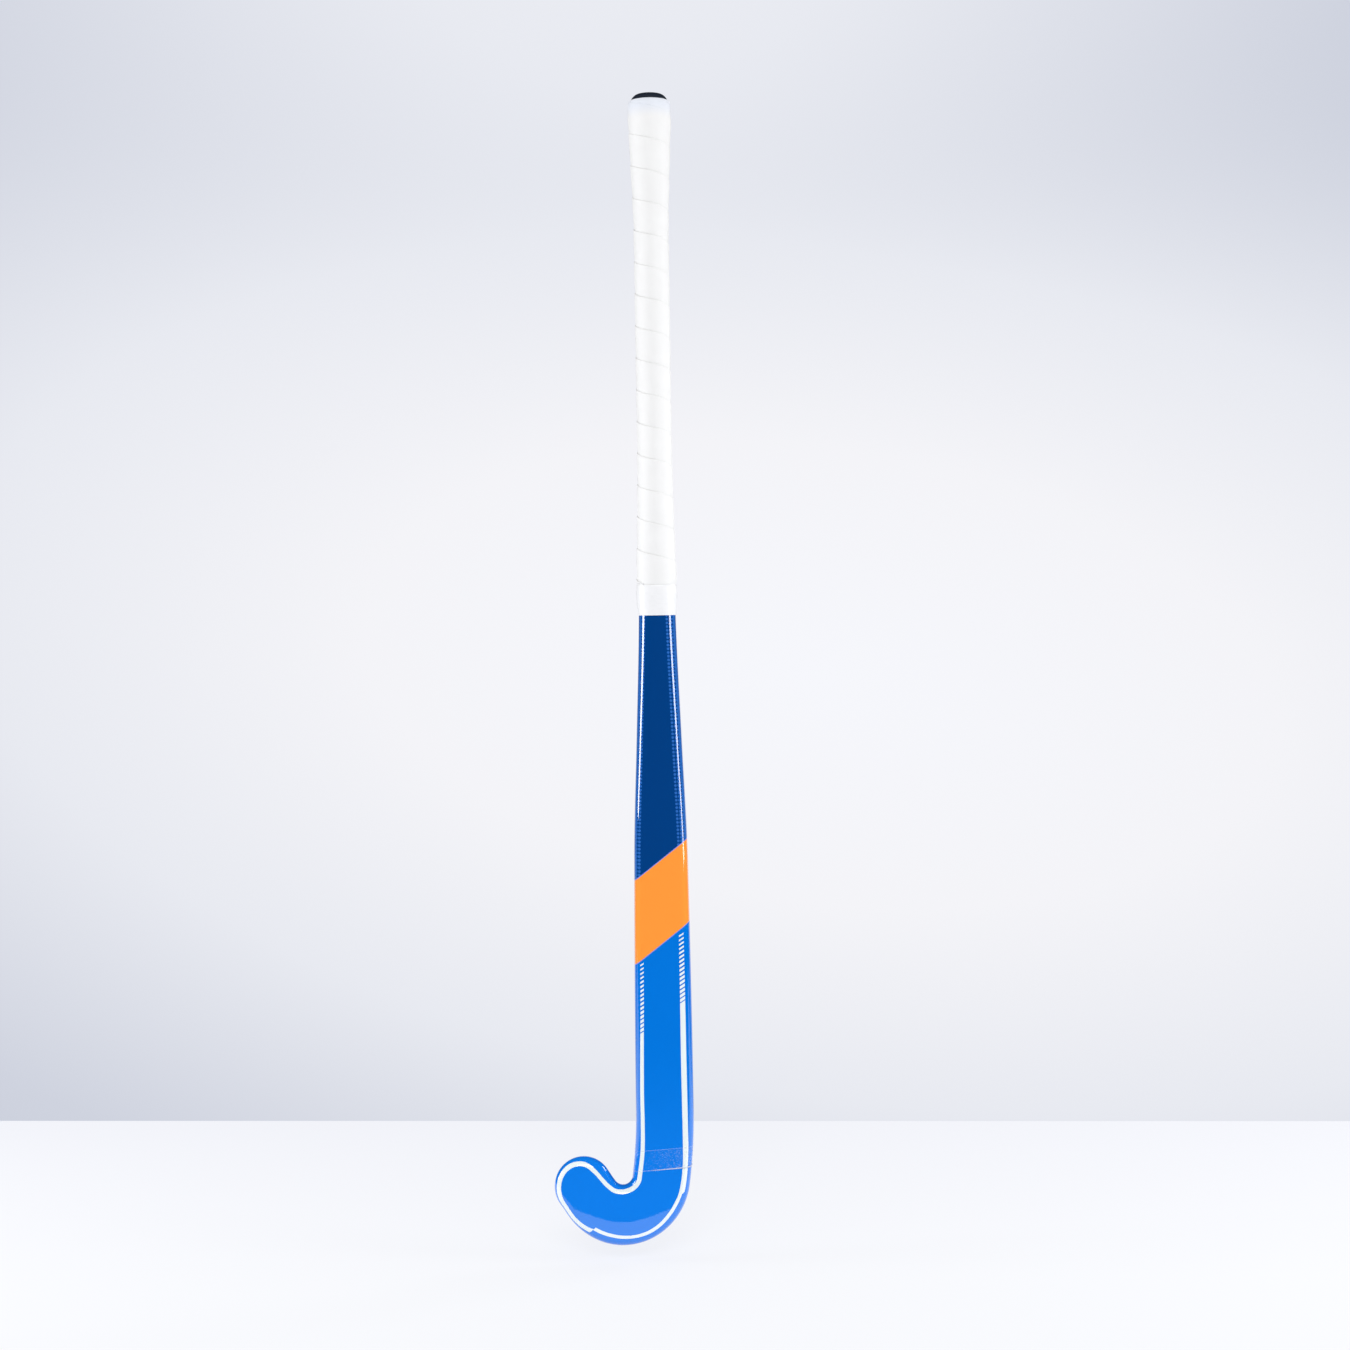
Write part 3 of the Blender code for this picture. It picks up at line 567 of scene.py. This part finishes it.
# A round profile is drawn along a straight path. Its place on the path says which turn it is on,
# and its corners say how far across the tape they are and whether on its outer side.
width = calculate("ADD", given["Pitch"], given["Lap"])
first = calculate("DIVIDE", calculate("SUBTRACT", given["Shortest End"], width), given["Pitch"])
last = calculate("SUBTRACT", given["Bottom"], calculate("ADD", given["Shortest End"], given["Top"]))
last = calculate("DIVIDE", last, given["Pitch"])
steps = calculate("CEIL", calculate("MULTIPLY", calculate("SUBTRACT", last, first), STEPS_A_TURN))
path = add_node(winding, "GeometryNodeCurvePrimitiveLine", {"End": (0.0, 0.0, 1.0)})
path = add_node(winding, "GeometryNodeResampleCurve", {"Curve": path, "Count": steps})
path_mark = winding.nodes.new("GeometryNodeCaptureAttribute")
path_mark.capture_items.new("FLOAT", "Share")
winding.links.new(path.outputs[0], path_mark.inputs[0])
factor = add_node(winding, "GeometryNodeSplineParameter").outputs["Factor"]
winding.links.new(factor, path_mark.inputs[1])
profile = add_node(winding, "GeometryNodeCurvePrimitiveCircle",
                   {"Resolution": PROFILE_STEPS, "Radius": 1.0})
profile_mark = winding.nodes.new("GeometryNodeCaptureAttribute")
profile_mark.capture_items.new("VECTOR", "Place")
winding.links.new(profile.outputs[0], profile_mark.inputs[0])
winding.links.new(add_node(winding, "GeometryNodeInputPosition").outputs[0], profile_mark.inputs[1])
tube = add_node(winding, "GeometryNodeCurveToMesh", {"Curve": path_mark.outputs[0], "Fill Caps": True,
                                                     "Profile Curve": profile_mark.outputs[0]})
turns = ramp(path_mark.outputs[1], 0.0, 1.0, first, last)
corner = add_node(winding, "ShaderNodeSeparateXYZ", [profile_mark.outputs[1]]).outputs
across = ramp(corner["X"], 1.0, -1.0, 0.0, 1.0)
start = calculate("MULTIPLY_ADD", turns, given["Pitch"], given["Top"])
upper = calculate("MAXIMUM", start, given["Top"])
lower = calculate("MINIMUM", calculate("ADD", start, width), given["Bottom"])
along = ramp(across, 0.0, 1.0, upper, lower)
into = calculate("SUBTRACT", along, start)
# The outer side falls from the thick upper edge, and its tail is pressed thin under the next turn
outside = ramp(into, 0.0, given["Pitch"], given["Upper Thickness"], given["Lower Thickness"])
pressed = calculate("SUBTRACT", given["Lower Thickness"], given["Tail Thickness"])
tail = ramp(into, given["Pitch"], width, 0.0, pressed)
outside = calculate("SUBTRACT", outside, tail)
# The underside rises over the tail of the turn before, from the second turn on
over_tail = ramp(into, 0.0, given["Lap"], pressed, 0.0)
past_lap = calculate("MULTIPLY", given["Lap"], 1.5)
past_tail = ramp(into, given["Lap"], past_lap, given["Tail Thickness"], 0.0)
second_turn = ramp(calculate("SUBTRACT", turns, first), RISE_START, 1.0, 0.0, 1.0, "SMOOTHSTEP")
underside = calculate("MULTIPLY", calculate("ADD", over_tail, past_tail), second_turn)
underside = calculate("MULTIPLY_ADD", second_turn, LAP_GAP, underside)
# The first turn is doubled and thicker, and the finishing tape presses the last one thin
doubling = ramp(along, BULGE_START, BULGE_END, given["Top Bulge"], 0.0, "SMOOTHSTEP")
outside = calculate("ADD", outside, doubling)
press_start = calculate("SUBTRACT", given["Bottom"], PRESS_START)
press_end = calculate("SUBTRACT", given["Bottom"], PRESS_END)
kept = ramp(along, press_start, press_end, UNPRESSED, given["End Press"])
outside = calculate("MINIMUM", outside, kept)
below_top = calculate("SUBTRACT", calculate("ADD", along, TAPE_GAP), given["Top"])
round_top = ramp(below_top, 0.0, given["Top Rounding"], 1.0, 0.0)
round_top = calculate("SQRT", calculate("SUBTRACT", 1.0, calculate("MULTIPLY", round_top, round_top)))
outside = calculate("MULTIPLY", outside, round_top)
bulge = calculate("POWER", calculate("MAXIMUM", corner["Y"], 0.0), SIDE_POWER)
height = ramp(bulge, 0.0, 1.0, underside, outside)
# Each point is carried to the handle by a ray from outside toward the axis, then lifted off it
turn_angle = calculate("MULTIPLY_ADD", turns, 2 * math.pi, math.pi)
ray_sides = [calculate("COSINE", turn_angle), calculate("SINE", turn_angle)]
ray = add_node(winding, "ShaderNodeCombineXYZ", ray_sides)
inward = add_node(winding, "ShaderNodeVectorMath", {0: ray, "Scale": -1.0}, operation="SCALE")
level = add_node(winding, "ShaderNodeCombineXYZ", {2: calculate("MULTIPLY", along, -1.0)})
outward = add_node(winding, "ShaderNodeVectorMath", [ray, (RAY_START, RAY_START, RAY_START), level],
                   operation="MULTIPLY_ADD")
handle = add_node(winding, "GeometryNodeObjectInfo", {"Object": given["Handle"]},
                  transform_space="RELATIVE")
hit = add_node(winding, "GeometryNodeRaycast",
               {"Target Geometry": handle.outputs["Geometry"], "Source Position": outward,
                "Ray Direction": inward, "Ray Length": RAY_LENGTH}).outputs["Hit Position"]
wave = add_node(winding, "ShaderNodeTexNoise", {"Vector": hit, "Scale": CUSHION_SCALE, "Detail": 1.0})
wave = calculate("MULTIPLY", calculate("SUBTRACT", wave.outputs[0], 0.5), given["Cushion Wave"])
wave = calculate("MULTIPLY", wave, calculate("GREATER_THAN", corner["Y"], CUSHION_SIDE))
height = calculate("ADD", calculate("ADD", height, wave), TAPE_GAP)
lift = add_node(winding, "ShaderNodeCombineXYZ", [height, height, height])
lifted = add_node(winding, "ShaderNodeVectorMath", [ray, lift, hit], operation="MULTIPLY_ADD")
wound = add_node(winding, "GeometryNodeSetPosition", {"Geometry": tube, "Position": lifted})
run = calculate("MULTIPLY", turns, 2 * math.pi * HANDLE_RADIUS)
flat = add_node(winding, "ShaderNodeCombineXYZ", [into, run])
wound = add_node(winding, "GeometryNodeStoreNamedAttribute",
                 {"Geometry": wound, "Name": "tape", "Value": flat}, data_type="FLOAT2", domain="CORNER")
wound = add_node(winding, "GeometryNodeRealizeInstances", [wound])
wound = add_node(winding, "GeometryNodeSetMaterial", {"Geometry": wound, "Material": given["Material"]})
add_node(winding, "NodeGroupOutput", [wound])


def plain_mesh(piece):
    """Turns a piece with live modifiers into a plain mesh with outward faces."""
    evaluated = piece.evaluated_get(bpy.context.evaluated_depsgraph_get())
    made = bpy.data.meshes.new_from_object(evaluated)
    piece.modifiers.clear()
    piece.data = made
    mesh = bmesh.new()
    mesh.from_mesh(made)
    bmesh.ops.recalc_face_normals(mesh, faces=mesh.faces)
    for face in mesh.faces:
        face.smooth = True
    mesh.to_mesh(made)
    mesh.free()


grip = add_piece("wound_grip", bmesh.new())
wrap = grip.modifiers.new("Winding", "NODES")
wrap.node_group = winding
for name, value in (*TAPE.items(), ("Handle", shell), ("Material", tape_white)):
    wrap[sockets[name]] = value
plain_mesh(grip)
grip.data.set_sharp_from_angle(angle=math.radians(60))
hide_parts("grip_tape")
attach(grip, "root")

# Finishing tape: thin white vinyl, wound several times over the end of the grip and drawn tight,
# so the edges of its turns show as faint slanting ridges.
END_TOP, END_BOTTOM = 0.3955, 0.4202
LAP_END = 0.3987
END_PROFILE = [(END_TOP, 0.00180), (0.3966, 0.00205), (0.4000, 0.00215), (0.4040, 0.00210),
               (0.4080, 0.00180), (0.4120, 0.00145), (0.4160, 0.00110), (0.4192, 0.00085),
               (END_BOTTOM, 0.00060)]
# The inner side, from the bottom up: close to the handle, then over the end of the grip
END_GAP, OVER_GRIP = 0.0003, 0.0015
INNER_PROFILE = [(END_BOTTOM, END_GAP), (0.4150, END_GAP), (0.4090, END_GAP), (0.4035, END_GAP),
                 (LAP_END, END_GAP), (LAP_END, OVER_GRIP), (0.3970, OVER_GRIP), (END_TOP, OVER_GRIP)]
END_ROWS = 60
RIDGES = (0.4030, 0.4072, 0.4110, 0.4146)
RIDGE_STEP, RIDGE_EDGE, RIDGE_FADE = 0.00012, 0.0006, 0.004
RIDGE_SLIDE = 0.0016
VINYL_CLOUD = 0.006
vinyl, tree, shader, place = new_material("white_vinyl_tape", Roughness=0.36, IOR=1.5)
cloud = add_node(tree, "ShaderNodeTexNoise", {"Vector": place, "Scale": 1 / VINYL_CLOUD,
                                              "Detail": 2.0}).outputs[0]
dress(shader, mix(cloud, "ebecee", "f0f0f2"), cloud, 0.5, 0.0002)


def ridge_height(beyond):
    """A sharp step up at the edge of a turn that fades out before it."""
    return RIDGE_STEP * (1 - smooth_step(beyond / RIDGE_EDGE) - min(max(-beyond / RIDGE_FADE, 0.0), 1.0))


def close_rings(mesh, rings):
    """Skins a run of rings whose last is joined to the first."""
    for upper, lower in zip(rings, rings[1:] + rings[:1]):
        for index in range(len(SECTION)):
            after = (index + 1) % len(SECTION)
            mesh.faces.new([upper[index], lower[index], lower[after], upper[after]]).smooth = True
    bmesh.ops.recalc_face_normals(mesh, faces=mesh.faces)


mesh = bmesh.new()
rings = []
for along in spread(END_TOP, END_BOTTOM, END_ROWS) + [END_BOTTOM]:
    place = shaft_station(along)
    ring = []
    for angle in SECTION:
        slid = along - RIDGE_SLIDE * (angle / (2 * math.pi))
        thick = size_along(END_PROFILE, along) + sum(ridge_height(slid - ridge) for ridge in RIDGES)
        ring.append(mesh.verts.new(set_point(place, 0.0, *section_point(place, angle, thick))))
    rings.append(ring)
for along, gap in INNER_PROFILE:
    place = shaft_station(along)
    points = [set_point(place, 0.0, *section_point(place, angle, gap)) for angle in SECTION]
    rings.append([mesh.verts.new(point) for point in points])
close_rings(mesh, rings)
end_tape = add_piece("finishing_tape", mesh, vinyl)
end_tape.data.set_sharp_from_angle(angle=math.radians(60))
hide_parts("grip_end_tape")
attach(end_tape, "root")

# End cap: black rubber, moulded in one with the stem that is pushed into the plug. Its flat top
# has a shallow ring where the mould's insert met the rim.
CAP_RADIUS, CAP_HEIGHT = 0.0148, 0.0052
CAP_DROPS = [(0.0070, 0.0), (0.0088, 0.0001), (0.0102, 0.00045), (0.0114, 0.00105), (0.0124, 0.0018),
             (0.0133, 0.0027), (0.0140, 0.0036), (0.0145, 0.0044), (CAP_RADIUS, CAP_HEIGHT)]
STEM_RADIUS, STEM_LENGTH = 0.0050, 0.0120
INSERT_RING = [(0.0056, 0.0), (0.0058, -0.0002), (0.0062, -0.0002), (0.0064, 0.0)]
RIM_STEPS, SPIN_STEPS = 24, 96
MERGE_DISTANCE = 0.000005
RUBBER_GRAIN = 0.0007
rubber, tree, shader, place = new_material("moulded_black_rubber", Roughness=0.55, IOR=1.4)
grain = add_node(tree, "ShaderNodeTexNoise", {"Vector": place, "Scale": 1 / RUBBER_GRAIN,
                                              "Detail": 3.0}).outputs[0]
dress(shader, mix(grain, "151c29", "20293b"), grain, 0.35, 0.0001)
profile = [(0.0, 0.0), (0.0030, 0.0)] + INSERT_RING
rim_start = CAP_DROPS[0][0]
for step in range(RIM_STEPS + 1):
    radius = rim_start + (CAP_RADIUS - rim_start) * math.sin(math.pi / 2 * step / RIM_STEPS)
    profile.append((radius, -size_along(CAP_DROPS, radius)))
profile += [(STEM_RADIUS, -CAP_HEIGHT), (STEM_RADIUS, -CAP_HEIGHT - STEM_LENGTH),
            (0.0, -CAP_HEIGHT - STEM_LENGTH)]
mesh = bmesh.new()
corners = [mesh.verts.new((radius, 0.0, z)) for radius, z in profile]
edges = [mesh.edges.new(pair) for pair in zip(corners, corners[1:])]
bmesh.ops.spin(mesh, geom=corners + edges, axis=(0, 0, 1), cent=(0, 0, 0), angle=2 * math.pi,
               steps=SPIN_STEPS)
bmesh.ops.remove_doubles(mesh, verts=mesh.verts, dist=MERGE_DISTANCE)
bmesh.ops.recalc_face_normals(mesh, faces=mesh.faces)
for face in mesh.faces:
    face.smooth = True
cap = add_piece("rubber_end_cap", mesh, rubber)
cap.data.set_sharp_from_angle(angle=math.radians(40))
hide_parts("end_cap")
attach(cap, "root")

# Film band: clear self-adhesive film, wrapped once round the blade above the hook to keep the
# coat from chips. Only its cut edges and a little trapped haze show.
FILM_TOP, FILM_BOTTOM = -0.8498, -0.8662
FILM_SLOPE, FILM_MIDDLE = 0.07, -0.0027
FILM_GAP, FILM_THICKNESS = 0.0003, 0.0002
FILM_ROWS = 8
AIRY_REACH = 0.012
HAZE_GRAIN, HAZE = 0.0011, 0.09
LOW_EDGE, HIGH_EDGE = 0.62, 0.08
film, tree, shader, place = new_material("clear_polyurethane_film", Roughness=0.12, IOR=1.5,
                                         Base_Color=hex_colour("f2f6ff"))
xyz = add_node(tree, "ShaderNodeSeparateXYZ", [place])
# Height along the slanted band, and how far a point is to the side where more air is trapped.
# The cut edges are lines of about half a millimetre just inside the band.
aside = calculate("ADD", xyz.outputs["X"], -FILM_MIDDLE)
level = calculate("MULTIPLY_ADD", aside, -FILM_SLOPE, xyz.outputs["Z"])
airy = ramp(aside, -AIRY_REACH, AIRY_REACH, 0.15, 1.0)
haze = add_node(tree, "ShaderNodeTexNoise", {"Vector": place, "Scale": 1 / HAZE_GRAIN, "Detail": 3.0})
haze = ramp(haze.outputs[0], 0.48, 0.72, 0.0, HAZE)
haze = calculate("MULTIPLY", haze, airy)
low_edge = ramp(level, FILM_BOTTOM + 0.0009, FILM_BOTTOM + 0.0004, 0.0, LOW_EDGE)
low_edge = calculate("MULTIPLY", low_edge, airy)
high_edge = ramp(level, FILM_TOP - 0.0008, FILM_TOP - 0.0004, 0.0, HIGH_EDGE)
seen = calculate("MAXIMUM", low_edge, high_edge)
seen = calculate("ADD", seen, haze)
tree.links.new(seen.outputs[0], shader.inputs["Alpha"])


def film_point(level, angle, offset):
    """A point of the band on the bent blade, at a level that slants across it."""
    across, deep = section_point(bend_station(0.0), angle, offset)
    drop = -BEND_START - level - FILM_SLOPE * across
    turn = math.asin(drop / (BEND_RADIUS + across))
    return set_point(bend_station(turn), turn, across, deep)


mesh = bmesh.new()
rings = []
down = spread(FILM_TOP, FILM_BOTTOM, FILM_ROWS) + [FILM_BOTTOM]
up = spread(FILM_BOTTOM, FILM_TOP, FILM_ROWS) + [FILM_TOP]
for offset, levels in ((FILM_GAP + FILM_THICKNESS, down), (FILM_GAP, up)):
    for level in levels:
        rings.append([mesh.verts.new(film_point(level, angle, offset)) for angle in SECTION])
close_rings(mesh, rings)
band = add_piece("clear_film", mesh, film)
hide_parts("clear_film_band")
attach(band, "root")

# Studio: a pale table under the stick, whose near edge ends where the gloss of the head stops
# showing it, and nothing but a dark room in front.
TABLE_Z = -0.940
# The share of the table's tone that is its own where it is seen. The lamps give the rest.
TABLE_GLOW = 0.75
TABLE_BACK, TABLE_FRONT = 0.45, -0.1
TABLE_CORNERS = [(-3.0, -0.885), (3.0, -0.885), (3.0, 0.246), (-3.0, 0.661)]
table_white, tree, shader, place = new_material("pale_table")
tree.nodes.remove(shader)
path = add_node(tree, "ShaderNodeLightPath").outputs
seen = calculate("MAXIMUM", path["Is Camera Ray"], path["Is Glossy Ray"])
seen = calculate("MAXIMUM", seen, path["Is Transmission Ray"])
seen = calculate("MULTIPLY", seen, TABLE_GLOW)
depth = add_node(tree, "ShaderNodeSeparateXYZ", [place]).outputs["Y"]
tone = mix(ramp(depth, TABLE_BACK, TABLE_FRONT, 0.0, 1.0), "f4f5fb", "fafbfe")
lit = add_node(tree, "ShaderNodeBsdfDiffuse", {"Color": hex_colour("eceef4")})
glow = add_node(tree, "ShaderNodeEmission", {"Color": tone, "Strength": 1.0})
mixed = add_node(tree, "ShaderNodeMixShader", [seen, lit, glow])
tree.links.new(mixed.outputs[0], tree.nodes["Material Output"].inputs["Surface"])
mesh = bmesh.new()
mesh.faces.new([mesh.verts.new((x, y, TABLE_Z)) for x, y in TABLE_CORNERS])
table = add_piece("table", mesh, table_white)

ROOM_LIGHT, DARK_ROOM = 0.62, 0.02
world = bpy.data.worlds.new("studio")
world.use_nodes = True
bpy.context.scene.world = world
tree = world.node_tree
background = tree.nodes["Background"]
way = add_node(tree, "ShaderNodeTexCoord").outputs["Generated"]
toward = add_node(tree, "ShaderNodeSeparateXYZ", [way]).outputs
# The wall is lightest behind the stick, in a slanted oval, and again in a fainter one at the top
WALL_TONES = [(0.0, "f6f7fc"), (0.3, "f4f4f8"), (0.55, "e8eaf1"), (0.8, "cfd3df"), (1.0, "c6cbd8")]
TOP_FAINTER, OVAL_BLEND = 0.3507, 0.2
low_oval = add_node(tree, "ShaderNodeMapping", {"Vector": way, "Location": (-0.0635, 0.0, 0.0286),
                                                "Rotation": (0.0, -0.1538, 0.0)})
low_oval = add_node(tree, "ShaderNodeMapping", {"Vector": low_oval, "Scale": (1.558, 0.0, 3.107)})
top_oval = add_node(tree, "ShaderNodeMapping", {"Vector": way, "Location": (0.0242, 0.0, -0.4290),
                                                "Scale": (1.421, 0.0, 1.101)})
low_oval = add_node(tree, "ShaderNodeVectorMath", [low_oval], operation="LENGTH").outputs["Value"]
top_oval = add_node(tree, "ShaderNodeVectorMath", [top_oval], operation="LENGTH").outputs["Value"]
top_oval = calculate("ADD", top_oval, TOP_FAINTER)
wall = colour_ramp(calculate("SMOOTH_MIN", low_oval, top_oval, OVAL_BLEND), WALL_TONES)
path = add_node(tree, "ShaderNodeLightPath").outputs
# Gloss sees the lit wall behind the stick, wider at its foot, and a dark room on every other side
foot = ramp(toward["Z"], 0.0, -0.15, 0.0, 0.45)
behind = calculate("ADD", toward["Y"], foot)
behind = ramp(behind, 0.88, 0.97, DARK_ROOM, 1.0, "SMOOTHSTEP")
seen = calculate("MAXIMUM", path["Is Camera Ray"], path["Is Transmission Ray"])
gloss = calculate("MULTIPLY", path["Is Glossy Ray"], behind)
seen_power = calculate("MAXIMUM", seen, gloss)
seen = calculate("MAXIMUM", seen, path["Is Glossy Ray"])
tone = mix(seen, "ffffff", wall)
power = mix(seen, ROOM_LIGHT, seen_power, "FLOAT")
tree.links.new(tone.outputs[2], background.inputs["Color"])
tree.links.new(power.outputs[0], background.inputs["Strength"])

# Lamps: a wide soft box high in front and far off, a soft box on each side that draws the bright
# strips along the round edges, and a small one behind for the glint inside the hook. Each has its
# name, place, aim, width, height and watts.
LAMPS = [("key", (0.0, -4.2, 2.2), (0.0, 0.0, -0.46), 2.6, 1.8, 95.0),
         ("left_box", (-1.319, -0.046, -0.374), (0.0, 0.0, -0.374), 0.40, 0.47, 6.4),
         ("right_box", (1.281, -0.319, -0.414), (0.0, 0.0, -0.414), 0.36, 0.53, 5.0),
         ("rim_light", (1.10, 0.61, -0.12), (-0.045, 0.0, -0.87), 0.3, 0.3, 2.6)]
for name, place, aim, wide, tall, watts in LAMPS:
    lamp = bpy.data.lights.new(name, "AREA")
    lamp.shape = "RECTANGLE"
    lamp.size = wide
    lamp.size_y = tall
    lamp.energy = watts
    holder = bpy.data.objects.new(name, lamp)
    holder.location = place
    holder.rotation_euler = (Vector(aim) - Vector(place)).to_track_quat("-Z", "Y").to_euler()
    bpy.context.scene.collection.objects.link(holder)

# Camera: square on to the face, a little above the middle and looking slightly down
CAMERA_PLACE = Vector((0.0137, -1.8964, -0.3976))
CAMERA_DROP = math.atan(0.035 / 0.927)
CAMERA_ROLL = math.radians(0.897)
camera = bpy.data.objects.new("camera", bpy.data.cameras.new("camera"))
camera.data.sensor_width = 36.0
camera.data.lens = 62.12
upright = Matrix.Rotation(math.pi / 2 - CAMERA_DROP, 4, "X")
camera.matrix_world = Matrix.Translation(CAMERA_PLACE) @ upright @ Matrix.Rotation(-CAMERA_ROLL, 4, "Z")
bpy.context.scene.collection.objects.link(camera)
bpy.context.scene.camera = camera
bpy.context.scene.view_settings.view_transform = "Standard"
